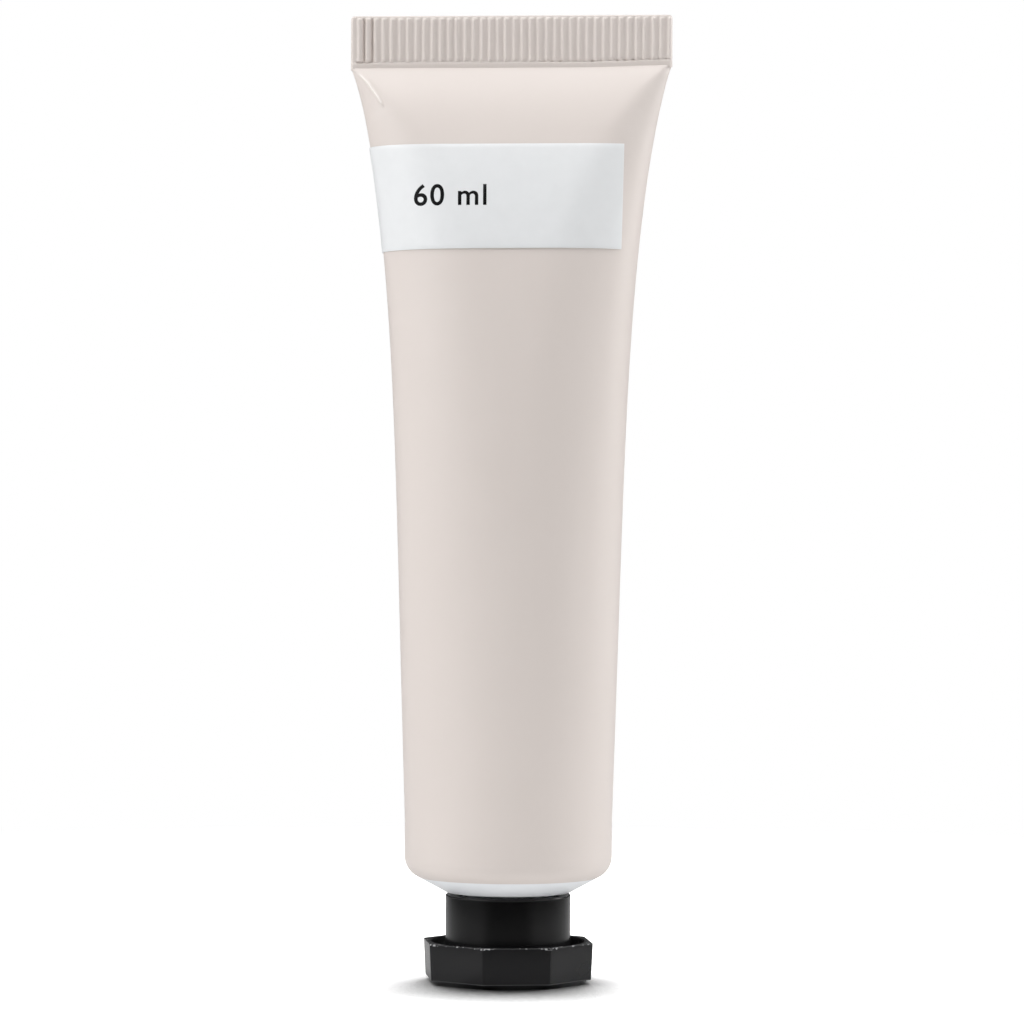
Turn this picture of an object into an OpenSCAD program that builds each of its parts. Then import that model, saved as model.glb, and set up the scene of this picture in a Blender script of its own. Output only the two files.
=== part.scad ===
// Squeeze tube for a skin cream, standing on its screw cap.
// The cap rests on z = 0, the tube stands above it with its neck down, and the welded end is at the top.
// The wide side of the welded end runs along x, and the label faces -y.

/* [Tube] */
// Outside diameter of the round tube, before its end is pressed flat
sleeve_d = 30; // [26:0.5:36]
// Wall of the tube
sleeve_wall = 0.5; // [0.4:0.05:0.6]
// Length of the tube from the top of the shoulder bend to the cut end
sleeve_l = 122; // [100:1:140]
// Length above the shoulder bend that stays round
round_l = 5; // [4:1:20]
// Outer radius of the bend where the tube turns in over the shoulder
bend_r = 3.2; // [2.4:0.1:4]
// Length of tube that lies on the shoulder cone past the bend
tuck_l = 0.6; // [0.3:0.1:1.2]
// Share of the depth that is lost evenly on the way up
early_taper = 0.28; // [0.2:0.02:0.4]
// Power of the loss of depth near the end, where more means later
late_taper = 5; // [4:0.5:7]
// Power of the whole closing curve, where less means a fuller tube
closing_power = 0.85; // [0.7:0.05:1]

/* [Welded end] */
// Smooth flat band below the ribs
band_h = 0.8; // [0.5:0.1:2]
// Height of the pressed ribs
rib_h = 6.8; // [4:0.1:10]
// Distance from rib to rib
rib_pitch = 1.18; // [1:0.02:1.6]
// Width of a rib at its foot
rib_w = 0.8; // [0.6:0.05:0.9]
// Width of a rib along its crest
rib_crest_w = 0.34; // [0.2:0.02:0.4]
// Height of a rib above the groove beside it
rib_rise = 0.2; // [0.1:0.05:0.3]

/* [Label] */
// Height of the label
label_h = 15.2; // [8:0.1:30]
// Distance from the flat band down to the top of the label
label_drop = 12; // [8:0.5:30]
// Thickness of the label
label_t = 0.12; // [0.08:0.02:0.2]
// Width of bare tube beside the label's right edge, seen from the front
label_bare = 2.3; // [1:0.1:8]
// Distance of the label's end from the tube's middle, on the back, where it has wrapped round the left side
label_back = 9; // [4:0.5:16]

/* [Shoulder and neck] */
// Slope of the shoulder cone, in degrees from level
shoulder_angle = 28.5; // [20:0.5:36]
// Wall of the shoulder
head_wall = 1.4; // [1:0.1:1.8]
// Height of the shoulder's collar inside the tube, above the bend
collar_h = 2; // [1:0.5:4]
// Wall of the neck under its thread
neck_wall = 1.8; // [1.4:0.1:2.4]
// Diameter of the hole that the cream comes out of
orifice_d = 3.6; // [2:0.1:6]
// Thickness of the plate round that hole
lip_wall = 1.2; // [0.8:0.1:2]
// Chamfer round the lip
lip_chamfer = 0.3; // [0.1:0.1:0.5]

/* [Cap] */
// Height of the cap, from the surface it stands on to the rim of its skirt
cap_h = 12.7; // [11:0.1:15]
// Outside diameter of the round skirt
skirt_d = 18.1; // [17:0.1:19]
// Wall of the skirt
skirt_wall = 1.45; // [1.2:0.05:1.8]
// Rounding of the skirt's rim
rim_r = 0.3; // [0.1:0.05:0.5]
// Thickness of the closed end under the liner
end_wall = 1.8; // [1.2:0.1:2.4]
// Distance of the round foot's edge in from the middle of the ring's sides
foot_inset = 0.2; // [0.1:0.1:2]
// Height of that foot below the eight-sided ring
foot_h = 0.6; // [0.3:0.1:1]
// Number of sides of the ring
ring_sides = 8; // [6:1:12]
// Distance between opposite corners of the ring, at its top
ring_across = 25.6; // [24:0.1:28]
// Height of the ring
ring_h = 5.3; // [4:0.1:8]
// Draft of the ring's sides, in degrees
ring_draft = 3; // [1:0.5:4]
// Thinnest wall of the ring, in the middle of a side at its top
ring_wall = 0.7; // [0.6:0.05:1.2]
// Thickness of the web that joins the ring to the skirt
web_t = 1.4; // [1:0.1:2.4]
// Turn of the ring's corners about the axis, in degrees
ring_turn = 28.7; // [0:0.1:45]

/* [Thread and liner] */
// Rise of the thread in one turn
thread_lead = 2.5; // [2.4:0.1:3]
// Height of a thread ridge
thread_h = 0.8; // [0.6:0.05:0.9]
// Width of a thread ridge at its crest
thread_crest_w = 0.7; // [0.4:0.1:0.8]
// Plain stretch before the thread at the neck's lip and at the cap's rim
thread_start = 0.8; // [0.4:0.1:1.6]
// Thickness of the sealing liner
liner_t = 1; // [0.6:0.1:1.6]

/* [Contents] */
// Height of the air space between the cream and the flat band
head_space = 8; // [6:0.5:30]

/* [Clearances] */
// Radial gap between a thread's crest and the wall that faces it
thread_clear = 0.2; // [0.15:0.05:0.3]
// Gap between the flanks of the two threads, on each side
flank_clear = 0.2; // [0.1:0.05:0.3]
// Gap between the cap's rim and the shoulder
rim_clear = 0.3; // [0.2:0.05:0.5]
// Gap between the liner's edge and the cap's bore
liner_clear = 0.3; // [0.15:0.05:0.4]
// Gap between the shoulder and the tube over it
seat_clear = 0.05; // [0.02:0.01:0.1]
// Gap between the cream and the walls round it
cream_clear = 0.15; // [0.1:0.05:0.3]
// Gap of glue between the label and the tube
glue_clear = 0.05; // [0.04:0.01:0.08]

/* [Hidden] */
$fn = 96;

// Points round a section, rings up the taper, and points in a short arc
sleeve_sides = 72;
cream_sides = 48;
taper_rings = 20;
cream_rings = 14;
label_rings = 5;
bend_steps = 6;
thread_steps = 36;

// Share of the taper at which the hollow ends, just under the weld
hollow_end = 0.998;
// How much closer the rings lie near the weld
ring_crowding = 1.5;
// Part of a turn over which a thread ridge rises from its wall
thread_fade = 0.12;
// Depth to which a ridge, the foot or the ring is rooted in what carries it
root_sink = 0.2;
// A cut that passes a face goes this far beyond it
cut_past = 1;

// Cap
skirt_r = skirt_d / 2;
bore_r = skirt_r - skirt_wall;
ring_top = foot_h + ring_h;
ring_top_r = ring_across / 2;
ring_foot_r = ring_top_r - ring_h * tan(ring_draft);
side_share = cos(180 / ring_sides);
hollow_r = ring_top_r * side_share - ring_wall;
foot_r = ring_foot_r * side_share - foot_inset;

// Neck and shoulder
lip_z = end_wall + liner_t;
land_z = cap_h + rim_clear;
land_r = skirt_r;
neck_crest_r = bore_r - thread_clear;
neck_r = neck_crest_r - thread_h;
neck_bore_r = neck_r - neck_wall;
orifice_r = orifice_d / 2;

// Tube
sleeve_r = sleeve_d / 2;
half_wall = sleeve_wall / 2;
wall_mid_r = sleeve_r - half_wall;
seat_inset = sleeve_wall + seat_clear;
bend_turn = 90 - shoulder_angle;
bend_end_r = sleeve_r - bend_r * (1 - cos(bend_turn));
bend_z = cone_z(bend_end_r, 0) + bend_r * sin(bend_turn);
collar_z = bend_z + collar_h;
round_z = bend_z + round_l;
top_z = bend_z + sleeve_l;
rib_z = top_z - rib_h;
weld_z = rib_z - band_h;

// Length of the wall's middle round the tube, which stays the same from the shoulder to the weld
girth = 2 * PI * wall_mid_r;

// Each ridge is as wide at its root as leaves the flank gap, with the other ridge half a lead away
ridge_overlap = (thread_h + thread_clear) / thread_h;
thread_root_w = (thread_lead - 2 * flank_clear - ridge_overlap * thread_crest_w) / (2 - ridge_overlap);
neck_thread_z = lip_z + thread_start + thread_root_w / 2;
cap_thread_z = neck_thread_z + thread_lead / 2;
thread_turns = (cap_h - thread_start - thread_root_w / 2 - cap_thread_z) / thread_lead;

// Height of the shoulder cone at a radius, for a surface that lies an inset inside the outer one
function cone_z(r, inset) = land_z + (r - land_r) * tan(shoulder_angle) + inset / cos(shoulder_angle);

function reversed(list) = [for (i = [len(list) - 1:-1:0]) list[i]];

// Radius and height along the bend, from its end on the cone up to where the tube runs straight
function bend_path(inset) = concat(
    [[bend_end_r - tuck_l * cos(shoulder_angle) - inset * sin(shoulder_angle),
      bend_z - bend_r * sin(bend_turn) - tuck_l * sin(shoulder_angle) + inset * cos(shoulder_angle)]],
    [for (i = [0:bend_steps]) let (a = bend_turn * (1 - i / bend_steps))
        [sleeve_r - bend_r + (bend_r - inset) * cos(a), bend_z - (bend_r - inset) * sin(a)]]
);

// Length round an ellipse with half axes a and b
function ellipse_girth(a, b) = PI * (3 * (a + b) - sqrt((3 * a + b) * (a + 3 * b)));

// Share of the way from the round stretch to the weld
function taper_share(z) = min(1, max(0, (z - round_z) / (weld_z - round_z)));

// Half depth of the wall's middle at a share of the taper
function half_depth(t) = half_wall + (wall_mid_r - half_wall)
    * pow(max(0, 1 - early_taper * t - (1 - early_taper) * pow(t, late_taper)), closing_power);

// Half width of the rounded part: an ellipse low down, and half a circle at the weld
function round_half_w(t, b) = (1 - t * t) * sqrt(2 * wall_mid_r * wall_mid_r - b * b) + t * t * b;

// Section of the wall's middle at a height: rounded half width, half depth, and half the flat between
function section(z) = let (t = taper_share(z), b = half_depth(t), a = round_half_w(t, b))
    [a, b, max(0, (girth - ellipse_girth(a, b)) / 4)];

// Half width of the tube at a height, over its outer faces
function half_width(z) = section(z)[0] + section(z)[2] + half_wall;

// Ring of points on that section, moved out from the wall's middle
function section_ring(z, out, sides) = let (s = section(z))
    [for (i = [0:sides - 1]) let (a = 360 * (i + 0.5) / sides)
        [(s[0] + out) * cos(a) + s[2] * sign(cos(a)), (s[1] + out) * sin(a), z]];

// Ring of points on a circle
function round_ring(r, z, sides) = [for (i = [0:sides - 1]) let (a = 360 * (i + 0.5) / sides)
    [r * cos(a), r * sin(a), z]];

// Height of a ring in the taper, closer together towards the weld
function taper_z(share) = round_z + (weld_z - round_z) * (1 - pow(1 - share, ring_crowding));

// Solid skinned over a list of rings. A looped one joins its last ring to its first, and has no end faces
module skin(rings, looped = false) {
    sides = len(rings[0]);
    count = len(rings);
    spans = looped ? count : count - 1;
    ends = looped ? [] : [[for (i = [0:sides - 1]) i], [for (i = [sides - 1:-1:0]) (count - 1) * sides + i]];
    polyhedron(
        points = [for (ring = rings) each ring],
        faces = concat(
            [for (j = [0:spans - 1], i = [0:sides - 1]) let (low = j * sides, high = (j + 1) % count * sides)
                each [[low + i, high + (i + 1) % sides, low + (i + 1) % sides],
                      [low + i, high + i, high + (i + 1) % sides]]],
            ends
        ),
        convexity = 6
    );
}

// Four corners of a thread ridge at a part of its length, on the wall of radius root_r
function ridge_corners(root_r, rise, length_share) = let (
        a = 360 * thread_turns * length_share,
        edge = min(length_share, 1 - length_share) * thread_turns / thread_fade,
        up = rise * min(1, max(0.1, edge)),
        sunk_r = root_r - sign(rise) * root_sink,
        z = thread_lead * thread_turns * length_share)
    [for (p = [[sunk_r, -thread_root_w / 2], [root_r + up, -thread_crest_w / 2],
            [root_r + up, thread_crest_w / 2], [sunk_r, thread_root_w / 2]])
        [p[0] * cos(a), p[0] * sin(a), z + p[1]]];

// Thread ridge that stands out from a wall, or into a bore where rise is negative
module thread_ridge(root_r, rise) {
    steps = round(thread_steps * thread_turns);
    rings = [for (i = [0:steps]) ridge_corners(root_r, rise, i / steps)];
    skin(rise > 0 ? [for (ring = rings) reversed(ring)] : rings);
}

// Outline of half the skirt: wall, rounded rim and a lead-in to the bore
function skirt_profile() = concat(
    [[0, 0], [skirt_r, 0]],
    [for (a = [0:15:90]) [skirt_r - rim_r + rim_r * cos(a), cap_h - rim_r + rim_r * sin(a)]],
    [[bore_r + rim_r, cap_h], [bore_r, cap_h - rim_r], [bore_r, end_wall], [0, end_wall]]
);

// One black moulding: round skirt, eight-sided grip ring joined to it by a web, and a round foot
module cap() {
    color("#1b1b1d") {
        cylinder(r = foot_r, h = foot_h + root_sink);
        rotate_extrude() polygon(skirt_profile());
        difference() {
            translate([0, 0, foot_h])
                rotate([0, 0, ring_turn])
                    cylinder(r1 = ring_foot_r, r2 = ring_top_r, h = ring_h, $fn = ring_sides);
            difference() {
                translate([0, 0, foot_h + web_t]) cylinder(r = hollow_r, h = ring_h);
                cylinder(r = skirt_r - root_sink, h = cap_h);
            }
            translate([0, 0, end_wall]) cylinder(r = skirt_r - root_sink, h = cap_h);
        }
        translate([0, 0, cap_thread_z]) thread_ridge(bore_r, -thread_h);
    }
}

// Foam disc that seals the mouth against the cap's closed end
module cap_liner() {
    color("#d9d9d6")
        translate([0, 0, end_wall]) cylinder(r = bore_r - liner_clear, h = liner_t);
}

// Outline of half the shoulder and neck
function head_profile() = concat(
    [[orifice_r, lip_z], [neck_r - lip_chamfer, lip_z], [neck_r, lip_z + lip_chamfer], [neck_r, land_z]],
    [[land_r, land_z], bend_path(0)[0]],
    bend_path(seat_inset),
    [[sleeve_r - seat_inset, collar_z], [sleeve_r - seat_inset - head_wall, collar_z]],
    reversed(bend_path(seat_inset + head_wall)),
    [[neck_bore_r, cone_z(neck_bore_r, seat_inset + head_wall)]],
    [[neck_bore_r, lip_z + lip_wall], [orifice_r, lip_z + lip_wall]]
);

// Shoulder and threaded neck, one stiff white moulding welded into the tube
module tube_head() {
    color("#f2f4f4") {
        rotate_extrude() polygon(head_profile());
        translate([0, 0, neck_thread_z]) thread_ridge(neck_r, thread_h);
    }
}

// Outline of the welded end seen from above, with ribs pressed into both faces
module weld_outline() {
    half_w = half_width(weld_z);
    groove_y = sleeve_wall - rib_rise / 2;
    ribs = floor(2 * (half_w - half_wall) / rib_pitch);
    front = [for (i = [0:ribs - 1]) let (x = (i - (ribs - 1) / 2) * rib_pitch)
        each [[x - rib_w / 2, -groove_y], [x - rib_crest_w / 2, -groove_y - rib_rise],
              [x + rib_crest_w / 2, -groove_y - rib_rise], [x + rib_w / 2, -groove_y]]];
    back = [for (p = reversed(front)) [p[0], -p[1]]];
    polygon(concat([[-half_w, -groove_y / 2]], front, [[half_w, -groove_y / 2], [half_w, groove_y / 2]],
        back, [[-half_w, groove_y / 2]]));
}

// Soft tube, round at the shoulder and pressed flat and welded at its far end
module sleeve() {
    inner = concat(
        [for (p = bend_path(sleeve_wall)) round_ring(p[0], p[1], sleeve_sides)],
        [for (i = [0:taper_rings - 1]) section_ring(taper_z(i / taper_rings), -half_wall, sleeve_sides)],
        [section_ring(round_z + (weld_z - round_z) * hollow_end, -half_wall, sleeve_sides)]
    );
    outer = concat(
        [for (p = bend_path(0)) round_ring(p[0], p[1], sleeve_sides)],
        [for (i = [0:taper_rings]) section_ring(taper_z(i / taper_rings), half_wall, sleeve_sides)],
        [section_ring(rib_z, half_wall, sleeve_sides)]
    );
    color("#ddd2ca") {
        skin(concat(reversed(inner), outer));
        translate([0, 0, rib_z]) linear_extrude(rib_h) weld_outline();
    }
}

// Paper band round the front and the left side, a little way on to the back
module label() {
    top = weld_z - label_drop;
    right_x = half_width(top - label_h) - label_bare;
    inside = half_wall + glue_clear;
    reach = sleeve_d;
    band = [for (i = [0:label_rings]) top - label_h * (1 - i / label_rings)];
    color("#f4f6f8")
        intersection() {
            skin(concat(
                [for (z = band) section_ring(z, inside + label_t, sleeve_sides)],
                [for (z = reversed(band)) section_ring(z, inside, sleeve_sides)]
            ), looped = true);
            union() {
                translate([-reach, -reach, 0]) cube([reach + right_x, reach, top + cut_past]);
                translate([-reach, 0, 0]) cube([reach - label_back, reach, top + cut_past]);
            }
        }
}

// Cream that fills the neck and the tube up to a small air space
module cream() {
    head_inset = seat_inset + head_wall + cream_clear;
    neck_fill_r = neck_bore_r - cream_clear;
    foot_z = collar_z + cream_clear;
    fill_z = weld_z - head_space;
    out = -half_wall - cream_clear;
    color("#fbf6ea")
        skin(concat(
            [round_ring(neck_fill_r, lip_z + lip_wall + cream_clear, cream_sides)],
            [round_ring(neck_fill_r, cone_z(neck_fill_r, head_inset), cream_sides)],
            [for (p = bend_path(head_inset)) round_ring(p[0], p[1], cream_sides)],
            [round_ring(sleeve_r - head_inset, foot_z, cream_sides)],
            [for (i = [0:cream_rings])
                section_ring(foot_z + (fill_z - foot_z) * i / cream_rings, out, cream_sides)]
        ));
}

cap();
cap_liner();
tube_head();
sleeve();
label();
cream();
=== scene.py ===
# %% [markdown]
# # A squeeze tube standing on its screw cap
#
# This lesson dresses a small cosmetic tube: a soft beige sleeve that is round at the bottom and welded flat
# at the top, a white shoulder with a threaded neck, and a black eight-sided cap that the tube stands on.
#
# The solids come from a CAD model that is loaded as a fixed frame. Each new piece lies where its solid lies,
# to within the fine relief that a solid leaves out. Lengths are written in millimetres and turned into metres
# at the last step.

# %% Load the frame
import math
import random

import bmesh
import bpy
import numpy as np
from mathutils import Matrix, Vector


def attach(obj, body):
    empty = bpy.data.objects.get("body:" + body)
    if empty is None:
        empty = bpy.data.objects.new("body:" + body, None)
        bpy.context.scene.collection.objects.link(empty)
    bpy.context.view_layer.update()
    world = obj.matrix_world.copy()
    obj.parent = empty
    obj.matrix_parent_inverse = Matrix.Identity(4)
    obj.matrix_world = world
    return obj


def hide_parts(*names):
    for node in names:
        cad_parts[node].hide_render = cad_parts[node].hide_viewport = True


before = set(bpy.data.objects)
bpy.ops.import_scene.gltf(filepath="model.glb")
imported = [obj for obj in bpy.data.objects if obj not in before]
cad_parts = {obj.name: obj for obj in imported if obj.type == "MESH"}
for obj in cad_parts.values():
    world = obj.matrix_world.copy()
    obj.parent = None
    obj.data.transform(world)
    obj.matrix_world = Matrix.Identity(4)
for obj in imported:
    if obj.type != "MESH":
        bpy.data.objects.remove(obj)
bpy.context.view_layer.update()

MM = 0.001
print("nodes:", sorted(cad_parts))

# %% [markdown]
# ## The camera
#
# The object was photographed level, from straight ahead, at half its height. A level camera keeps upright
# edges upright, so none of its framing has to come from a lens shift. How much of the cap's rim shows below
# eye level tells the distance, and the distance then tells the lens: a short telephoto. The whole picture
# leans by a quarter of a degree, so the camera is rolled by that much.

# %% Camera
EYE_LEVEL = 67.97
DISTANCE = 606.0
VIEW_WIDTH = 148.4
SENSOR = 36.0
AXIS_LEFT_OF_CENTRE = 0.33
CAMERA_ROLL = 0.25

camera_data = bpy.data.cameras.new("camera")
camera_data.sensor_width = SENSOR
camera_data.lens = SENSOR * DISTANCE / VIEW_WIDTH
camera_data.clip_start = 0.01
camera = bpy.data.objects.new("camera", camera_data)
camera.location = (AXIS_LEFT_OF_CENTRE * MM, -DISTANCE * MM, EYE_LEVEL * MM)
camera.rotation_euler = (math.radians(90), -math.radians(CAMERA_ROLL), 0)
bpy.context.scene.collection.objects.link(camera)
bpy.context.scene.camera = camera
bpy.context.scene.view_settings.view_transform = "Standard"
print("lens in mm:", round(camera_data.lens, 1))

# %% [markdown]
# ## Measures of the real tube
#
# A tube like this starts as a round sleeve. Its far end is pressed flat and welded, and the material doesn't
# stretch, so the length round the tube is the same at every height. One section rule follows from that: an
# ellipse, opened by a straight stretch in its middle that takes up whatever length the ellipse leaves over.

# %% Sleeve measures
SLEEVE_R = 15.0
SLEEVE_WALL = 0.5
HALF_WALL = SLEEVE_WALL / 2
WALL_MID_R = SLEEVE_R - HALF_WALL
GIRTH = 2 * math.pi * WALL_MID_R
EARLY_TAPER = 0.28
LATE_TAPER = 5.0
CLOSING_POWER = 0.85
ROUND_LENGTH = 5.0
SLEEVE_LENGTH = 122.0
BAND_HEIGHT = 0.8
RIB_HEIGHT = 6.8
BEND_R = 3.2
TUCK_LENGTH = 0.3

SHOULDER_ANGLE = math.radians(28.5)
CAP_HEIGHT = 12.7
SKIRT_R = 9.05
LAND_Z = CAP_HEIGHT + 0.3


def cone_height(r, inset=0.0):
    """Height of the shoulder cone at a radius, or of a surface that lies inset below it."""
    return LAND_Z + (r - SKIRT_R) * math.tan(SHOULDER_ANGLE) + inset / math.cos(SHOULDER_ANGLE)


BEND_TURN = math.pi / 2 - SHOULDER_ANGLE
BEND_END_R = SLEEVE_R - BEND_R * (1 - math.cos(BEND_TURN))
BEND_Z = cone_height(BEND_END_R) + BEND_R * math.sin(BEND_TURN)
ROUND_Z = BEND_Z + ROUND_LENGTH
TOP_Z = BEND_Z + SLEEVE_LENGTH
RIB_Z = TOP_Z - RIB_HEIGHT
WELD_Z = RIB_Z - BAND_HEIGHT
print("weld at", round(WELD_Z, 2), "mm, top at", round(TOP_Z, 2), "mm")


# %% Section of the sleeve at a height
def section(z):
    """Rounded half width, half depth and half flat stretch of the wall's middle."""
    share = min(1.0, max(0.0, (z - ROUND_Z) / (WELD_Z - ROUND_Z)))
    left = max(0.0, 1 - EARLY_TAPER * share - (1 - EARLY_TAPER) * share ** LATE_TAPER)
    depth = HALF_WALL + (WALL_MID_R - HALF_WALL) * left ** CLOSING_POWER
    width = (1 - share ** 2) * math.sqrt(2 * WALL_MID_R ** 2 - depth ** 2) + share ** 2 * depth
    ellipse = math.pi * (3 * (width + depth) - math.sqrt((3 * width + depth) * (width + 3 * depth)))
    return width, depth, max(0.0, (GIRTH - ellipse) / 4)


OUTLINE_TURN = np.linspace(0, 2 * math.pi, 1441)


def outline(z, out):
    """Closed line round the section, moved out from the wall's middle: x, y and the length so far."""
    width, depth, flat = section(z)
    cos = np.cos(OUTLINE_TURN)
    x = (width + out) * cos + flat * np.where(cos >= 0, 1.0, -1.0)
    y = (depth + out) * np.sin(OUTLINE_TURN)
    return x, y, np.concatenate([[0], np.cumsum(np.hypot(np.diff(x), np.diff(y)))])


def section_ring(z, out, sides, crowded=None):
    """Points round the section from its +x end, half of them on the back and half on the front.

    A crowded spot on the front is given as its x, its reach and how many times closer the points lie."""
    x, y, run = outline(z, out)
    middle = len(run) // 2
    density = np.ones_like(run)
    if crowded:
        spot_x, reach, times = crowded
        spot = run[middle + np.argmin(np.abs(x[middle:] - spot_x))]
        density += (times - 1) * np.exp(-((run - spot) / reach) ** 2)
    ring = []
    for part in (slice(0, middle + 1), slice(middle, len(run))):
        steps = np.diff(run[part]) * (density[part][1:] + density[part][:-1]) / 2
        crowd = np.concatenate([[0], np.cumsum(steps)])
        at = np.interp(np.arange(sides // 2) / (sides // 2) * crowd[-1], crowd, run[part])
        ring += [(float(a), float(b), z) for a, b in zip(np.interp(at, run, x), np.interp(at, run, y))]
    return ring


def round_ring(r, z, sides):
    return [(r * math.cos(a), r * math.sin(a), z) for a in (2 * math.pi * i / sides for i in range(sides))]


print("half width at the weld:", round(max(p[0] for p in section_ring(WELD_Z, HALF_WALL, 64)), 2), "mm")

# %% [markdown]
# ## Working with rings
#
# Nearly every piece here is a tube of some kind, so one way of modelling serves them all. A plain cylinder
# without ends is added, its upright edges are subdivided into as many rings as the outline has stations, and
# each ring is then moved to its station. The walls stay all quads, which bevel and shade smoothly.


# %% Helpers for meshes
def start_clean():
    if bpy.context.object and bpy.context.object.mode != "OBJECT":
        bpy.ops.object.mode_set(mode="OBJECT")
    bpy.ops.object.select_all(action="DESELECT")


def select_in_edit(piece, kind, test):
    """Goes into edit mode with only those vertices, edges or faces selected that pass the test."""
    bpy.ops.object.mode_set(mode="EDIT")
    bpy.ops.mesh.select_mode(type=kind)
    bpy.ops.mesh.select_all(action="DESELECT")
    mesh = bmesh.from_edit_mesh(piece.data)
    for item in {"VERT": mesh.verts, "EDGE": mesh.edges, "FACE": mesh.faces}[kind]:
        item.select_set(test(item))
    mesh.select_flush_mode()
    bmesh.update_edit_mesh(piece.data)


def ringed_piece(name, rings, closed_ends=True):
    """A cylinder whose rings are moved to the given rings of points, from the first up to the last."""
    sides, count = len(rings[0]), len(rings)
    start_clean()
    bpy.ops.mesh.primitive_cylinder_add(vertices=sides, radius=1, depth=2, end_fill_type="NOTHING")
    piece = bpy.context.object
    piece.name = name
    select_in_edit(piece, "EDGE", lambda e: abs(e.verts[0].co.z - e.verts[1].co.z) > 1)
    bpy.ops.mesh.subdivide(number_cuts=count - 2)
    bpy.ops.object.mode_set(mode="OBJECT")
    for v in piece.data.vertices:
        turn = math.atan2(v.co.y, v.co.x) / (2 * math.pi) * sides
        ring = rings[round((v.co.z + 1) / 2 * (count - 1))]
        v.co = Vector(ring[round(turn) % sides]) * MM
    if closed_ends:
        select_in_edit(piece, "EDGE", lambda e: e.is_boundary)
        bpy.ops.mesh.edge_face_add()
    return tidy_mesh(piece)


def tidy_mesh(piece, merge=0.0005):
    """Merges doubled points and turns every face outwards."""
    select_in_edit(piece, "VERT", lambda v: True)
    bpy.ops.mesh.remove_doubles(threshold=merge * MM)
    bpy.ops.mesh.normals_make_consistent(inside=False)
    bpy.ops.object.mode_set(mode="OBJECT")
    return piece


def face_outwards(piece, inner=lambda centre: Vector((0, 0, centre.z))):
    """Turns an open skin over if its faces look towards what it goes round."""
    if sum(p.normal.dot(p.center - inner(p.center)) * p.area for p in piece.data.polygons) < 0:
        piece.data.flip_normals()
    return piece


def apply_modifier(piece, kind, **settings):
    start_clean()
    piece.select_set(True)
    bpy.context.view_layer.objects.active = piece
    modifier = piece.modifiers.new(kind.lower(), kind)
    for key, value in settings.items():
        setattr(modifier, key, value)
    bpy.ops.object.modifier_apply(modifier=modifier.name)
    return piece


def round_edges(piece, width, angle=30, segments=2):
    return apply_modifier(
        piece, "BEVEL", width=width * MM, segments=segments, limit_method="ANGLE",
        angle_limit=math.radians(angle), use_clamp_overlap=True,
    )


def join(name, pieces):
    start_clean()
    for piece in pieces:
        piece.select_set(True)
    bpy.context.view_layer.objects.active = pieces[0]
    bpy.ops.object.join()
    pieces[0].name = name
    return pieces[0]


def smooth(piece, angle=35):
    start_clean()
    piece.select_set(True)
    bpy.context.view_layer.objects.active = piece
    bpy.ops.object.shade_smooth_by_angle(angle=math.radians(angle))
    print(piece.name, "has", len(piece.data.polygons), "faces")
    return piece


def ease(value, low, high):
    """0 below low, 1 above high, and a smooth step between."""
    share = min(1.0, max(0.0, (value - low) / (high - low)))
    return share * share * (3 - 2 * share)


# %% [markdown]
# ## The sleeve
#
# The sleeve is turned in over the shoulder with a round bend, runs straight for a little way and is then
# pressed flatter and flatter up to the weld. The rings lie closest together where the shape changes fastest,
# at the bend and just under the weld. Where the film gives way beside the weld it creases, so points near
# such a line are moved out a little, and the points of each ring crowd round the sharpest one. The wall gets
# its thickness last, with Solidify, because a real sleeve is a thin skin of one thickness all over.


# %% Bend over the shoulder
def bend_path(inset, steps):
    """Radius and height from the end tucked on to the cone up to where the sleeve runs straight."""
    path = [(
        BEND_END_R - TUCK_LENGTH * math.cos(SHOULDER_ANGLE) - inset * math.sin(SHOULDER_ANGLE),
        BEND_Z - BEND_R * math.sin(BEND_TURN) - TUCK_LENGTH * math.sin(SHOULDER_ANGLE)
        + inset * math.cos(SHOULDER_ANGLE),
    )]
    for i in range(steps + 1):
        turn = BEND_TURN * (1 - i / steps)
        path.append((SLEEVE_R - BEND_R + (BEND_R - inset) * math.cos(turn),
                     BEND_Z - (BEND_R - inset) * math.sin(turn)))
    return path


# %% Creases beside the weld
CREASE_STARTS = (0.0, 0.12)
CREASE_ENDS = (0.82, 1.0)
CREASES_UNDER_WELD = (0.9, 0.3)
CREASES = [
    {"side": -1, "rise": 0.24, "spread": 0.16,
     "path": [(-22.4, 132.0), (-21.0, 130.5), (-19.95, 128.9), (-19.15, 127.6), (-18.35, 126.0)]},
    {"side": -1, "rise": -0.08, "spread": 0.9,
     "path": [(-22.9, 131.6), (-21.6, 129.8), (-20.5, 128.0), (-19.8, 126.4), (-19.3, 124.5)]},
    {"side": -1, "rise": 0.05, "spread": 0.5,
     "path": [(22.4, 131.6), (21.4, 130.2), (20.2, 128.2), (18.6, 125.8)]},
    {"side": 1, "rise": 0.07, "spread": 0.35,
     "path": [(21.9, 131.8), (20.6, 130.2), (19.6, 128.4), (18.9, 126.6)]},
]


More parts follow.
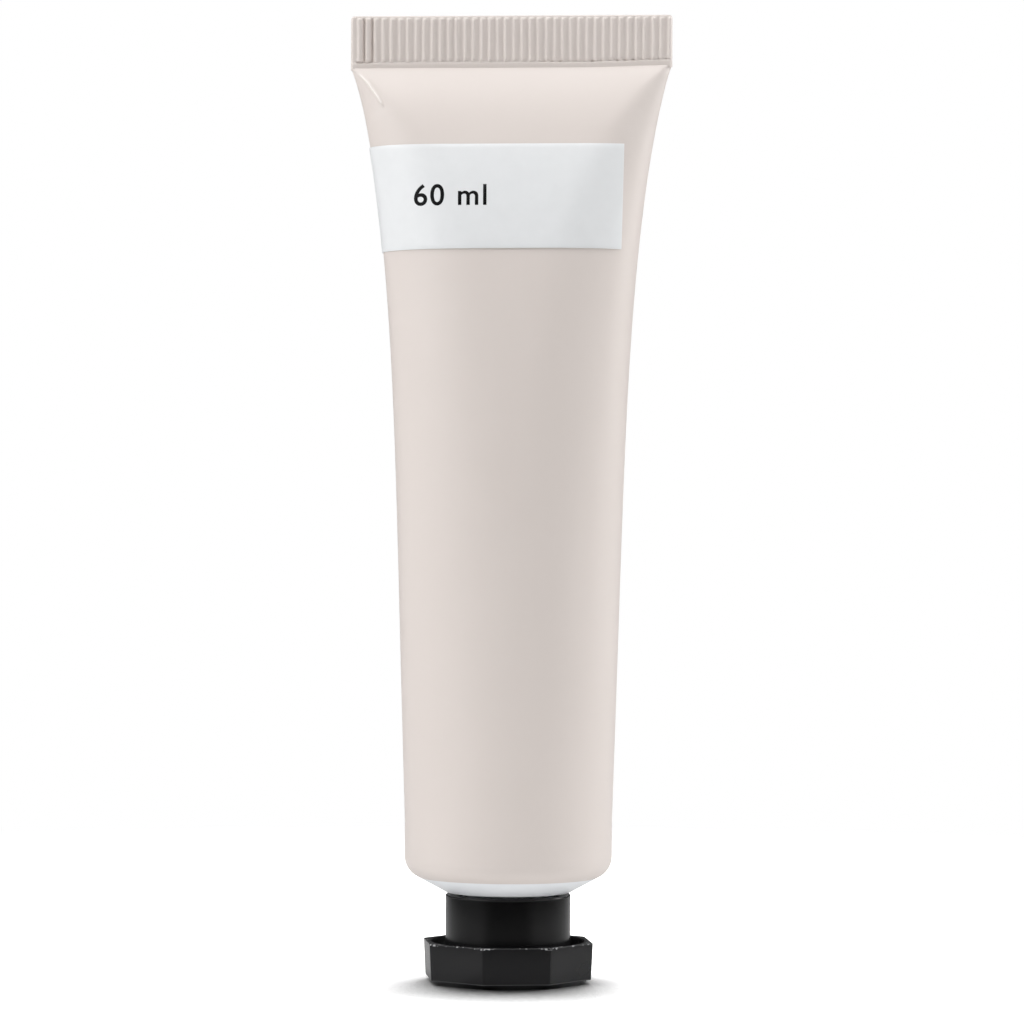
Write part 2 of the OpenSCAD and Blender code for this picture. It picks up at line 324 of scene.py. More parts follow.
def crease_lift(x, y, z, creases=CREASES):
    """How far a point of the sleeve stands out because of the creases near it."""
    lift = 0.0
    for crease in creases:
        if y * crease["side"] <= 0:
            continue
        path = crease["path"]
        nearest, along = math.inf, 0.0
        for i, (a, b) in enumerate(zip(path, path[1:])):
            step = (b[0] - a[0], b[1] - a[1])
            share = ((x - a[0]) * step[0] + (z - a[1]) * step[1]) / (step[0] ** 2 + step[1] ** 2)
            share = min(1.0, max(0.0, share))
            gap = math.hypot(x - a[0] - share * step[0], z - a[1] - share * step[1])
            if gap < nearest:
                nearest, along = gap, (i + share) / (len(path) - 1)
        strength = ease(along, *CREASE_STARTS) * (1 - ease(along, *CREASE_ENDS))
        lift += crease["rise"] * strength * math.exp(-0.5 * (nearest / crease["spread"]) ** 2)
    high, low = (WELD_Z - under for under in CREASES_UNDER_WELD)
    return lift * (1 - ease(z, high, low))


# %% Sleeve rings
SLEEVE_SIDES = 256
BEND_STEPS = 12
CREASED_FROM = WELD_Z - 9
CROWDED_FROM = WELD_Z - 7
PLAIN_RINGS = 44
CREASED_RINGS = 46
CROWD_REACH = 0.7
CROWD_TIMES = 6


def creased_ring(z):
    """A ring of the sleeve's outside, with the creases standing out of it."""
    if z < CREASED_FROM:
        return section_ring(z, HALF_WALL, SLEEVE_SIDES)
    sharp = CREASES[0]["path"]
    crease_x = float(np.interp(z, [p[1] for p in sharp[::-1]], [p[0] for p in sharp[::-1]]))
    times = 1 + CROWD_TIMES * ease(z, CREASED_FROM, CROWDED_FROM)
    plain = section_ring(z, HALF_WALL, SLEEVE_SIDES, (crease_x, CROWD_REACH, times))
    ring = []
    for i, (x, y, z) in enumerate(plain):
        before, after = plain[i - 1], plain[(i + 1) % SLEEVE_SIDES]
        out = Vector((after[1] - before[1], before[0] - after[0])).normalized()
        lift = crease_lift(x, y, z)
        ring.append((x + out.x * lift, y + out.y * lift, z))
    return ring


sleeve_rings = [round_ring(r, z, SLEEVE_SIDES) for r, z in bend_path(0, BEND_STEPS)]
sleeve_rings += [creased_ring(z) for z in np.linspace(ROUND_Z, CREASED_FROM, PLAIN_RINGS)]
sleeve_rings += [creased_ring(z) for z in np.linspace(CREASED_FROM, WELD_Z, CREASED_RINGS)[1:]]
sleeve_skin = face_outwards(ringed_piece("sleeve_skin", sleeve_rings, closed_ends=False))
apply_modifier(sleeve_skin, "SOLIDIFY", thickness=SLEEVE_WALL * MM, offset=-1)
print("rings in the sleeve:", len(sleeve_rings))

# %% [markdown]
# ## The welded end
#
# Hot jaws press the end of the sleeve flat and leave upright ribs in it. A grid is added for one face, with
# twelve columns to a rib, and its points are moved out or in by the ribs' outline. No two ribs come out of
# such jaws quite alike, so each has its own height, place and slight wander. The first two at the left have a
# deep groove beside them, and small pits mark the feet of those at the right. The face is made once more for
# the back, and the two rims are bridged into one closed plate. The jaws closed a little askew, so at the end
# the film near the weld is shifted a few tenths of a millimetre, most at the left.

# %% Rib outlines
random.seed(7)
RIB_PITCH = 1.183
RIB_COUNT = 39
FIRST_RIB = -22.0
RIB_RISE = 0.27
RIB_FLANK = (-0.46, -0.14)
RIB_BACK = (-0.04, 0.62)
RIB_TOP_FADE = (0.28, 0.5)
DEEP_RIBS = 2
GROOVE_AT = 0.66
GROOVE_HALF = 0.2
GROOVE_DEPTH = 0.3
PITS_FROM = RIB_COUNT * 0.55
PIT_DEPTH = 0.3
PIT_AT = (GROOVE_AT, 0.12)
PIT_HALF = (0.28, 0.13)
WELD_HALF_WIDTH = section(WELD_Z)[0] + section(WELD_Z)[2] + HALF_WALL
ribs = []
for number in range(RIB_COUNT):
    deep = number < DEEP_RIBS
    ribs.append({
        "x": FIRST_RIB + number * RIB_PITCH + (0.0 if deep else random.uniform(-0.04, 0.04)),
        "rise": 0.8 if deep else random.uniform(0.75, 1.0),
        "wander": 0.0 if deep else random.uniform(-0.05, 0.05),
        "foot": random.uniform(0.0, 0.25),
        "lean": 0.0 if deep else random.uniform(-0.07, 0.07),
        "groove": GROOVE_DEPTH if deep else 0.0,
        "pit": PIT_DEPTH * random.uniform(0.5, 1.2) if number > PITS_FROM else 0.0,
    })
print("ribs:", RIB_COUNT, "from", FIRST_RIB, "to", round(ribs[-1]["x"], 1), "mm")


def rib_relief(x, z):
    """Height of the pressed surface at a point. A rib's left flank is steep and its right one is long."""
    if z < RIB_Z - 0.3:
        return 0.0
    up, down = z - RIB_Z, TOP_Z - z
    share = up / RIB_HEIGHT
    number = min(RIB_COUNT - 1, max(0, round((x - FIRST_RIB) / RIB_PITCH)))
    best, cut = 0.0, 0.0
    for rib in ribs[max(0, number - 1):number + 2]:
        away = x - rib["x"] - rib["wander"] * math.sin(math.pi * share) - rib["lean"] * (share - 0.5)
        slope = ease(away, *RIB_FLANK) * (1 - ease(away, *RIB_BACK))
        ends = ease(up, rib["foot"] * 0.4, 0.3 + rib["foot"]) * ease(down, *RIB_TOP_FADE)
        best = max(best, RIB_RISE * rib["rise"] * slope * ends)
        if rib["groove"]:
            beside = 1 - ease(abs(away - GROOVE_AT), GROOVE_HALF * 0.5, GROOVE_HALF)
            length = ease(up, -0.1, 0.1) * ease(down, 0.3, 0.6)
            under = (1 - ease(abs(up - 0.05), 0.08, 0.2)) * (1 - ease(abs(away), 0.45, 0.6))
            cut = max(cut, rib["groove"] * beside * length, 0.6 * rib["groove"] * under)
        if rib["pit"]:
            from_pit = ((away - PIT_AT[0]) / PIT_HALF[0]) ** 2 + ((up - PIT_AT[1]) / PIT_HALF[1]) ** 2
            cut = max(cut, rib["pit"] * math.exp(-from_pit))
    return best - cut


# %% Welded end
PLATE_COLUMNS = RIB_COUNT * 12
PLATE_HEIGHTS = [WELD_Z + up for up in (-0.25, 0.0, 0.25, 0.5)]
PLATE_HEIGHTS += [RIB_Z + up for up in (-0.16, -0.06, 0.03, 0.12, 0.21, 0.32, 0.5, 0.8)]
PLATE_HEIGHTS += [RIB_Z + up for up in (1.5, 2.3, 3.1, 3.9, 4.7, 5.4)]
PLATE_HEIGHTS += [TOP_Z - down for down in (0.75, 0.5, 0.38, 0.28, 0.18, 0.1, 0.04, 0.0)]
CORNER_R = 0.55
PLATE_HALF = SLEEVE_WALL - 0.01
PRESSED_FROM = (RIB_Z - 0.15, RIB_Z + 0.1)
SIDE_PINCH = 0.55
SIDE_REACH = 0.28
TOP_ROUND = 0.26


def plate_point(u, z, side):
    """A point of the plate: u runs from -1 to 1 across it, and side is -1 for the front."""
    above = max(0.0, z - (TOP_Z - CORNER_R))
    half_width = WELD_HALF_WIDTH - (CORNER_R - math.sqrt(max(0.0, CORNER_R ** 2 - above ** 2)))
    x = u * half_width
    depth = PLATE_HALF - ease(z, *PRESSED_FROM) * RIB_RISE / 2 + rib_relief(x, z)
    depth *= 1 - SIDE_PINCH * ease(abs(x), half_width - SIDE_REACH, half_width)
    depth -= TOP_ROUND * (1 - math.sqrt(max(0.0, 1 - max(0.0, (z - TOP_Z) / TOP_ROUND + 1) ** 2)))
    return x, side * depth, z


def plate_face(name, side):
    start_clean()
    rows = len(PLATE_HEIGHTS) - 1
    bpy.ops.mesh.primitive_grid_add(x_subdivisions=PLATE_COLUMNS, y_subdivisions=rows, size=2)
    face = bpy.context.object
    face.name = name
    for v in face.data.vertices:
        z = PLATE_HEIGHTS[round((v.co.y + 1) / 2 * rows)]
        v.co = Vector(plate_point(v.co.x, z, side)) * MM
    return face


weld_plate = join("weld_plate", [plate_face("weld_front", -1), plate_face("weld_back", 1)])
select_in_edit(weld_plate, "EDGE", lambda e: e.is_boundary)
bpy.ops.mesh.bridge_edge_loops()
tidy_mesh(weld_plate)
sleeve_skin = join("sleeve_skin", [sleeve_skin, weld_plate])

# %% Skew of the weld
WELD_SKEW = 0.0095
SKEW_FROM = WELD_Z - 8
JAW_LIFT = 0.28
LIFT_RIGHT_OF = 10
LIFT_FROM = WELD_Z - 6


def jaw_shift(x, z):
    """How far the film is shifted upwards because the jaws closed a little askew."""
    skew = WELD_SKEW * (x - WELD_HALF_WIDTH) * ease(z, SKEW_FROM, WELD_Z)
    lift = JAW_LIFT * ease(x, LIFT_RIGHT_OF, WELD_HALF_WIDTH) * ease(z, LIFT_FROM, WELD_Z)
    return skew + lift * (1 - ease(z, RIB_Z, TOP_Z))


FOLD_NARROWING = 3
# This attribute holds a painted highlight: highest on the sharp crease, it lightens the film's colour there.
fold_highlight_mask = sleeve_skin.data.attributes.new("fold_highlight_paint", "FLOAT", "POINT")
for v in sleeve_skin.data.vertices:
    x, y, z = v.co / MM
    near_fold = max(0.0, crease_lift(x, y, z, CREASES[:1]) / CREASES[0]["rise"])
    fold_highlight_mask.data[v.index].value = near_fold ** FOLD_NARROWING
    v.co.z += jaw_shift(x, z) * MM
smooth(sleeve_skin, 60)

# %% [markdown]
# ## The label
#
# A paper band is wrapped round the front and the left side and ends on the back. A grid follows the sleeve's
# own section, a hair outside it, from the end on the back round to the right edge. It was stuck on by hand or
# by a worn machine, so it climbs a little to the right and its right edge slants a little inwards. Solidify
# gives the paper its thickness, and a tiny bevel takes the light along its cut edges.

# %% Label
LABEL_HEIGHT = 15.2
LABEL_DROP = 11.75
LABEL_BARE = 2.3
LABEL_BACK = 9.0
LABEL_T = 0.12
LABEL_GLUE = 0.05
LABEL_TOP = WELD_Z - LABEL_DROP
LABEL_FOOT = LABEL_TOP - LABEL_HEIGHT
LABEL_OUT = HALF_WALL + LABEL_GLUE
label_foot_section = section(LABEL_FOOT)
LABEL_RIGHT = label_foot_section[0] + label_foot_section[2] + HALF_WALL - LABEL_BARE
LABEL_TILT = 0.009
LABEL_SLANT = 0.4
LABEL_COLUMNS = 240
LABEL_ROWS = 20
LABEL_EDGE = 0.03


def label_line(z, out):
    """The sleeve's outline at a height, and the lengths along it at which the label starts and stops."""
    x, y, run = outline(z, out)
    back = (y >= 0) & (run < run[-1] / 2)
    front = (y <= 0) & (run > run[-1] / 2)
    start = np.interp(LABEL_BACK, -x[back], run[back])
    slant = LABEL_SLANT * (1 - (z - LABEL_FOOT) / LABEL_HEIGHT)
    stop = np.interp(LABEL_RIGHT - slant, x[front], run[front])
    return x, y, run, start, stop


def label_piece(name):
    start_clean()
    bpy.ops.mesh.primitive_grid_add(x_subdivisions=LABEL_COLUMNS, y_subdivisions=LABEL_ROWS, size=2)
    piece = bpy.context.object
    piece.name = name
    lines = [label_line(LABEL_FOOT + LABEL_HEIGHT * j / LABEL_ROWS, LABEL_OUT) for j in range(LABEL_ROWS + 1)]
    for v in piece.data.vertices:
        row = round((v.co.y + 1) / 2 * LABEL_ROWS)
        x, y, run, start, stop = lines[row]
        at = start + (stop - start) * (v.co.x + 1) / 2
        z = LABEL_FOOT + LABEL_HEIGHT * row / LABEL_ROWS + LABEL_TILT * np.interp(at, run, x)
        x, y, run = outline(z, LABEL_OUT)
        v.co = Vector((np.interp(at, run, x), np.interp(at, run, y), z)) * MM
    return piece


label = face_outwards(label_piece("label_paper"))
apply_modifier(label, "SOLIDIFY", thickness=LABEL_T * MM, offset=1)
round_edges(label, LABEL_EDGE, angle=50)
smooth(label, 40)
print("label from", round(LABEL_FOOT, 1), "to", round(LABEL_TOP, 1), "mm")

# %% [markdown]
# ## The contents line
#
# The label says at its left how much the tube holds, in plain letters. Text is made a mesh, cut into small
# tiles so that it can bend, and each point is then laid on the curved paper. A printed letter has next to no
# thickness, so it gets one hundredth of a millimetre.

# %% Contents line
PRINT_HEIGHT = 3.0
PRINT_LEFT = -13.9
PRINT_FOOT = 111.9
INK_T = 0.01
INK_LIFT = 0.012
BUILT_IN_CAPITAL = 0.7
STROKE_GROWTH = 0.055
LETTER_SPACING = 1.12
TILE_WIDTH = 0.3
TILE_HEIGHT = 0.6

start_clean()
bpy.ops.object.text_add()
ink = bpy.context.object
ink.name = "contents_print"
ink.data.body = "60 ml"
ink.data.size = PRINT_HEIGHT / BUILT_IN_CAPITAL
ink.data.offset = STROKE_GROWTH
ink.data.space_character = LETTER_SPACING
bpy.ops.object.convert(target="MESH")
ink = bpy.context.object
ink_left = min(v.co.x for v in ink.data.vertices)
ink_right = max(v.co.x for v in ink.data.vertices)
ink_top = max(v.co.y for v in ink.data.vertices)
for cut in np.arange(ink_left + TILE_WIDTH, ink_right, TILE_WIDTH):
    select_in_edit(ink, "FACE", lambda f: True)
    bpy.ops.mesh.bisect(plane_co=(cut, 0, 0), plane_no=(1, 0, 0))
for cut in np.arange(TILE_HEIGHT, ink_top, TILE_HEIGHT):
    select_in_edit(ink, "FACE", lambda f: True)
    bpy.ops.mesh.bisect(plane_co=(0, cut, 0), plane_no=(0, 1, 0))
bpy.ops.object.mode_set(mode="OBJECT")
for v in ink.data.vertices:
    x = PRINT_LEFT + v.co.x - ink_left
    z = PRINT_FOOT + v.co.y + LABEL_TILT * x
    line_x, line_y, run = outline(z, LABEL_OUT + LABEL_T + INK_LIFT)
    front = (line_y <= 0) & (run > run[-1] / 2)
    v.co = Vector((x, np.interp(x, line_x[front], line_y[front]), z)) * MM
face_outwards(ink)
apply_modifier(ink, "SOLIDIFY", thickness=INK_T * MM, offset=-1)
print("print is", round(ink_right - ink_left, 1), "mm wide and", round(ink_top, 1), "mm high")

# %% [markdown]
# ## Threads
#
# A screw thread is one ridge wound round a cylinder. It is modelled as a four-sided tube whose rings climb
# along the helix, four dozen of them to a turn. Both ends run out into the wall, as a mould leaves them.

# %% Thread
THREAD_LEAD = 2.5
THREAD_H = 0.8
THREAD_CREST = 0.7
THREAD_ROOT = 1.63
THREAD_START = 0.8
THREAD_STEPS = 48
THREAD_FADE = 0.12
THREAD_EDGE = 0.12
LEAST_RISE = 0.1
ROOT_SINK = 0.2
SKIRT_WALL = 1.45
END_WALL = 1.8
LINER_T = 1.0
BORE_R = SKIRT_R - SKIRT_WALL
NECK_R = BORE_R - 0.2 - THREAD_H
LIP_Z = END_WALL + LINER_T
NECK_THREAD_Z = LIP_Z + THREAD_START + THREAD_ROOT / 2
CAP_THREAD_Z = NECK_THREAD_Z + THREAD_LEAD / 2
THREAD_TURNS = (CAP_HEIGHT - THREAD_START - THREAD_ROOT / 2 - CAP_THREAD_Z) / THREAD_LEAD


def thread_ridge(name, root_r, rise, low_z):
    """A ridge that stands out from a wall of radius root_r, or into a bore where rise is negative."""
    steps = round(THREAD_STEPS * THREAD_TURNS)
    rings = []
    for i in range(steps + 1):
        share = i / steps
        turn = 2 * math.pi * THREAD_TURNS * share
        edge = min(share, 1 - share) * THREAD_TURNS / THREAD_FADE
        crest_r = root_r + rise * min(1, max(LEAST_RISE, edge))
        sunk_r = root_r - math.copysign(ROOT_SINK, rise)
        z = low_z + THREAD_LEAD * THREAD_TURNS * share
        corners = [(sunk_r, -THREAD_ROOT / 2), (crest_r, -THREAD_CREST / 2),
                   (crest_r, THREAD_CREST / 2), (sunk_r, THREAD_ROOT / 2)]
        rings.append([(r * math.cos(turn), r * math.sin(turn), z + up) for r, up in corners])
    return round_edges(ringed_piece(name, rings), THREAD_EDGE, angle=25)


print("turns of thread:", round(THREAD_TURNS, 2))

# %% [markdown]
# ## The cap
#
# The cap is one black moulding: a round foot, an eight-sided grip ring that widens slightly upwards so that
# it leaves its mould, a web, and a round skirt with the thread inside. Between ring and skirt lies an open
# gap. All of it is one stack of rings with 128 points each, some round and some eight-sided. A bevel then
# takes every sharp edge, because no moulded edge is truly sharp and the rounding is what catches the light.

# %% Cap outline
CAP_SIDES = 128
FOOT_H = 0.6
RING_H = 5.3
RING_TOP_R = 12.8
RING_FOOT_R = RING_TOP_R - RING_H * math.tan(math.radians(3))
RING_TURN = math.radians(28.7)
RING_TOP = FOOT_H + RING_H
RING_CORNERS = 8
SIDE_SHARE = math.cos(math.pi / RING_CORNERS)
HOLLOW_R = RING_TOP_R * SIDE_SHARE - 0.7
FOOT_R = RING_FOOT_R * SIDE_SHARE - 0.2
WEB_TOP = FOOT_H + 1.4
RIM_R = 0.3
CAP_EDGE = 0.12
GATE_R = 0.8
GATE_DEPTH = 0.12
CENTRE_R = 0.3


def grip_ring(corner_r, z):
    """Points round the eight-sided ring, each in the same direction as its neighbour on a round ring."""
    ring = []
    slice_turn = 2 * math.pi / RING_CORNERS
    for i in range(CAP_SIDES):
        turn = 2 * math.pi * i / CAP_SIDES
        off = turn % slice_turn - slice_turn / 2
        r = corner_r * SIDE_SHARE / math.cos(off)
        ring.append((r * math.cos(turn + RING_TURN), r * math.sin(turn + RING_TURN), z))
    return ring


def cap_ring(r, z):
    """Points round a circle, turned as the eight-sided ring is."""
    return [(r * math.cos(2 * math.pi * i / CAP_SIDES + RING_TURN),
             r * math.sin(2 * math.pi * i / CAP_SIDES + RING_TURN), z) for i in range(CAP_SIDES)]


cap_rings = [cap_ring(CENTRE_R, GATE_DEPTH), cap_ring(GATE_R, GATE_DEPTH), cap_ring(GATE_R + 0.1, 0),
             cap_ring(FOOT_R * 0.6, 0), cap_ring(FOOT_R, 0), cap_ring(FOOT_R, FOOT_H),
             grip_ring(RING_FOOT_R, FOOT_H), grip_ring((RING_FOOT_R + RING_TOP_R) / 2, FOOT_H + RING_H / 2),
             grip_ring(RING_TOP_R, RING_TOP), cap_ring(HOLLOW_R, RING_TOP), cap_ring(HOLLOW_R, WEB_TOP),
             cap_ring(SKIRT_R, WEB_TOP), cap_ring(SKIRT_R, (WEB_TOP + CAP_HEIGHT) / 2)]
cap_rings += [cap_ring(SKIRT_R - RIM_R + RIM_R * math.cos(a), CAP_HEIGHT - RIM_R + RIM_R * math.sin(a))
              for a in np.radians([0, 22.5, 45, 67.5, 90])]
cap_rings += [cap_ring(BORE_R + RIM_R, CAP_HEIGHT), cap_ring(BORE_R, CAP_HEIGHT - RIM_R),
              cap_ring(BORE_R, END_WALL), cap_ring(BORE_R * 0.5, END_WALL), cap_ring(CENTRE_R, END_WALL)]
cap_moulding = round_edges(ringed_piece("cap_moulding", cap_rings), CAP_EDGE, angle=28, segments=3)
cap_thread = thread_ridge("cap_thread", BORE_R, -THREAD_H, CAP_THREAD_Z)
cap_moulding = smooth(join("cap_moulding", [cap_moulding, cap_thread]), 30)

# %% [markdown]
# ## The liner
#
# A disc of foam seals the neck. It is soft enough to keep the print of the lip that is screwed down on it, so
# its upper face has a shallow ring pressed into it, and its cut edge is slightly rounded.

# %% Liner
LINER_R = BORE_R - 0.3
LINER_SIDES = 96
LINER_EDGE = 0.12
LINER_BULGE = 0.02
LIP_PRINT = 0.04
ORIFICE_R = 1.8
liner_rings = [round_ring(r, z, LINER_SIDES) for r, z in [
    (CENTRE_R, END_WALL), (LINER_R * 0.6, END_WALL), (LINER_R - LINER_EDGE, END_WALL),
    (LINER_R, END_WALL + LINER_EDGE), (LINER_R + LINER_BULGE, END_WALL + LINER_T / 2),
    (LINER_R, LIP_Z - LINER_EDGE), (LINER_R - LINER_EDGE, LIP_Z), (NECK_R + 0.1, LIP_Z),
    (NECK_R - 0.1, LIP_Z - LIP_PRINT), (ORIFICE_R + 0.2, LIP_Z - LIP_PRINT), (ORIFICE_R, LIP_Z),
    (CENTRE_R, LIP_Z)]]
liner = smooth(ringed_piece("liner_disc", liner_rings), 40)

# %% [markdown]
# ## Shoulder and neck
#
# The shoulder and the neck are one stiff white moulding. Its outline goes up the outside from the lip, along
# the cone and the seat for the sleeve, and comes back down the inside to the outlet hole. The last ring of
# the stack lies on the first, so merging doubled points closes it.

# %% Shoulder and neck
SEAT = SLEEVE_WALL + 0.05
HEAD_WALL = 1.4
COLLAR_Z = BEND_Z + 2.0
NECK_BORE_R = NECK_R - 1.8
LIP_WALL = 1.2
LIP_CHAMFER = 0.3
CONE_MIDDLE_R = 11.0
HEAD_SIDES = 128
HEAD_BEND_STEPS = 8
HEAD_EDGE = 0.08
inside_bend = list(reversed(bend_path(SEAT + HEAD_WALL, HEAD_BEND_STEPS)))
head_outline = [(ORIFICE_R, LIP_Z), (NECK_R - LIP_CHAMFER, LIP_Z), (NECK_R, LIP_Z + LIP_CHAMFER),
                (NECK_R, LAND_Z), (SKIRT_R, LAND_Z), (CONE_MIDDLE_R, cone_height(CONE_MIDDLE_R)),
                bend_path(0, HEAD_BEND_STEPS)[0]]
head_outline += bend_path(SEAT, HEAD_BEND_STEPS)
head_outline += [(SLEEVE_R - SEAT, COLLAR_Z), (SLEEVE_R - SEAT - HEAD_WALL, COLLAR_Z)] + inside_bend
head_outline += [(NECK_BORE_R, cone_height(NECK_BORE_R, SEAT + HEAD_WALL)), (NECK_BORE_R, LIP_Z + LIP_WALL),
                 (ORIFICE_R, LIP_Z + LIP_WALL), (ORIFICE_R, LIP_Z)]
head_rings = [round_ring(r, z, HEAD_SIDES) for r, z in head_outline]
head = ringed_piece("shoulder_and_neck", head_rings, closed_ends=False)
round_edges(head, HEAD_EDGE, angle=35)
neck_thread = thread_ridge("neck_thread", NECK_R, THREAD_H, NECK_THREAD_Z)
head = smooth(join("shoulder_and_neck", [head, neck_thread]), 30)

# %% [markdown]
# ## The cream
#
# Nothing of the cream shows while the cap is on, and a dab of it shows in the outlet when the cap is off. It
# fills the neck and the sleeve up to a small air space, and its top has settled into a slight hollow.

# %% Cream
CREAM_GAP = 0.15
CREAM_SIDES = 96
CREAM_RINGS = 24
CREAM_HOLLOW = [(0.9, 0.1), (0.5, 0.5), (0.04, 0.6)]
CREAM_FOOT = COLLAR_Z + CREAM_GAP
CREAM_TOP = WELD_Z - 8
HEAD_INSET = SEAT + HEAD_WALL + CREAM_GAP
NECK_FILL_R = NECK_BORE_R - CREAM_GAP
cream_rings = [round_ring(r, z, CREAM_SIDES) for r, z in [
    (0.4, LIP_Z + LIP_WALL + CREAM_GAP), (NECK_FILL_R, LIP_Z + LIP_WALL + CREAM_GAP),
    (NECK_FILL_R, cone_height(NECK_FILL_R, HEAD_INSET))]]
cream_rings += [round_ring(r, z, CREAM_SIDES) for r, z in bend_path(HEAD_INSET, HEAD_BEND_STEPS)]
cream_rings += [round_ring(SLEEVE_R - HEAD_INSET, CREAM_FOOT, CREAM_SIDES)]
cream_rings += [section_ring(z, -HALF_WALL - CREAM_GAP, CREAM_SIDES)
                for z in np.linspace(CREAM_FOOT, CREAM_TOP, CREAM_RINGS)]
for shrink, drop in CREAM_HOLLOW:
    cream_rings.append([(x * shrink, y * shrink, CREAM_TOP - drop) for x, y, z in
                        section_ring(CREAM_TOP, -HALF_WALL - CREAM_GAP, CREAM_SIDES)])
cream = smooth(ringed_piece("cream_fill", cream_rings), 50)

# %% [markdown]
# ## Effects that several materials share
#
# Real plastic and paper are never one flat colour. Two effects come back in all of the materials here: a slow
# mottle, which mixes two close colours, and a fine grain, which gives the bump and roughness their texture.
# A third puts pale marks in a narrow band at a height: wear specks where a rim gets knocked, or a painted
# highlight line along a rounded rim. Each is a node group with named inputs, built once and then placed with
# its own values wherever it is needed.


# %% Node helpers
def new_group(name, inputs, outputs):
    """A shader node group with float inputs at their usual values, and the given outputs."""
    group = bpy.data.node_groups.new(name, "ShaderNodeTree")
    for label_text, kind, value in inputs:
        socket = group.interface.new_socket(name=label_text, in_out="INPUT", socket_type=kind)
        if value is not None:
            socket.default_value = value
    for label_text, kind in outputs:
        group.interface.new_socket(name=label_text, in_out="OUTPUT", socket_type=kind)
    return group, group.nodes.new("NodeGroupInput"), group.nodes.new("NodeGroupOutput")


def add(tree, kind, links=(), **settings):
    """Adds a node, sets its properties, and links or sets its inputs by name or number."""
    node = tree.nodes.new(kind)
    for key, value in settings.items():
        setattr(node, key, value)
    for socket, source in links:
        if isinstance(source, bpy.types.NodeSocket):
            tree.links.new(source, node.inputs[socket])
        else:
            node.inputs[socket].default_value = source
    return node


def maths(tree, operation, *values):
    """A Math node with the given inputs, and what it puts out."""
    return add(tree, "ShaderNodeMath", enumerate(values), operation=operation).outputs[0]


def mix_colours(tree, share, first, second):
    """A colour Mix node and its result: sockets 6 and 7 are its colours, and its third output is theirs."""
    return add(tree, "ShaderNodeMix", [(0, share), (6, first), (7, second)], data_type="RGBA").outputs[2]


def stretched_place(tree, stretch):
    """Object coordinates with their height multiplied, so that a small number draws a pattern out upwards."""
    place = add(tree, "ShaderNodeTexCoord")
    factors = add(tree, "ShaderNodeCombineXYZ", [("X", 1.0), ("Y", 1.0), ("Z", stretch)])
    return add(tree, "ShaderNodeVectorMath", [(0, place.outputs["Object"]), (1, factors.outputs[0])],
               operation="MULTIPLY").outputs[0]


# %% Mottle: two close colours mixed in slow clouds
mottle, given, result = new_group(
    "mottle",
    [("Light", "NodeSocketColor", None), ("Dark", "NodeSocketColor", None),
     ("Scale", "NodeSocketFloat", 60.0), ("Stretch", "NodeSocketFloat", 1.0)],
    [("Color", "NodeSocketColor")],
)
place = stretched_place(mottle, given.outputs["Stretch"])
clouds = add(mottle, "ShaderNodeTexNoise", [("Vector", place), ("Scale", given.outputs["Scale"]),
                                            ("Detail", 3.0), ("Roughness", 0.55)])
spread = add(mottle, "ShaderNodeMapRange", [("Value", clouds.outputs["Fac"]), ("From Min", 0.3),
                                            ("From Max", 0.7)])
blend = mix_colours(mottle, spread.outputs[0], given.outputs["Dark"], given.outputs["Light"])
mottle.links.new(blend, result.inputs["Color"])

# %% Grain: a fine height and a roughness that varies with it
grain, given, result = new_group(
    "grain",
    [("Scale", "NodeSocketFloat", 900.0), ("Stretch", "NodeSocketFloat", 1.0),
     ("Roughness", "NodeSocketFloat", 0.4), ("Roughness Spread", "NodeSocketFloat", 0.05)],
    [("Height", "NodeSocketFloat"), ("Roughness", "NodeSocketFloat")],
)
SLOW_SHARE = 0.07
place = stretched_place(grain, given.outputs["Stretch"])
fine = add(grain, "ShaderNodeTexNoise", [("Vector", place), ("Scale", given.outputs["Scale"]),
                                         ("Detail", 4.0), ("Roughness", 0.6)])
slow_scale = maths(grain, "MULTIPLY", given.outputs["Scale"], SLOW_SHARE)
slow = add(grain, "ShaderNodeTexNoise", [("Vector", place), ("Scale", slow_scale), ("Detail", 2.0)])
centred = maths(grain, "SUBTRACT", slow.outputs["Fac"], 0.5)
rougher = maths(grain, "MULTIPLY_ADD", centred, given.outputs["Roughness Spread"], given.outputs["Roughness"])
grain.links.new(fine.outputs["Fac"], result.inputs["Height"])
grain.links.new(rougher, result.inputs["Roughness"])

# %% Wear and highlight band: pale specks or a painted highlight line in a band at a height
wear_and_highlight_band, given, result = new_group(
    "wear_and_highlight_band",
    [("Height", "NodeSocketFloat", 0.005), ("Reach", "NodeSocketFloat", 0.0002),
     ("Inside", "NodeSocketFloat", 0.0), ("Scale", "NodeSocketFloat", 2600.0),
     ("Cut", "NodeSocketFloat", 0.6), ("Blur", "NodeSocketFloat", 0.04)],
    [("Mask", "NodeSocketFloat")],
)
place = add(wear_and_highlight_band, "ShaderNodeTexCoord")
parts = add(wear_and_highlight_band, "ShaderNodeSeparateXYZ", [(0, place.outputs["Object"])])
away = maths(wear_and_highlight_band, "ABSOLUTE", maths(wear_and_highlight_band, "SUBTRACT", parts.outputs["Z"], given.outputs["Height"]))
band = add(wear_and_highlight_band, "ShaderNodeMapRange", [("Value", away), ("From Min", given.outputs["Reach"]),
                                             ("From Max", 0.0)])
flat = add(wear_and_highlight_band, "ShaderNodeVectorMath", [(0, place.outputs["Object"]), (1, (1.0, 1.0, 0.0))],
           operation="MULTIPLY")
radius = add(wear_and_highlight_band, "ShaderNodeVectorMath", [(0, flat.outputs[0])], operation="LENGTH")
outside = maths(wear_and_highlight_band, "GREATER_THAN", radius.outputs["Value"], given.outputs["Inside"])
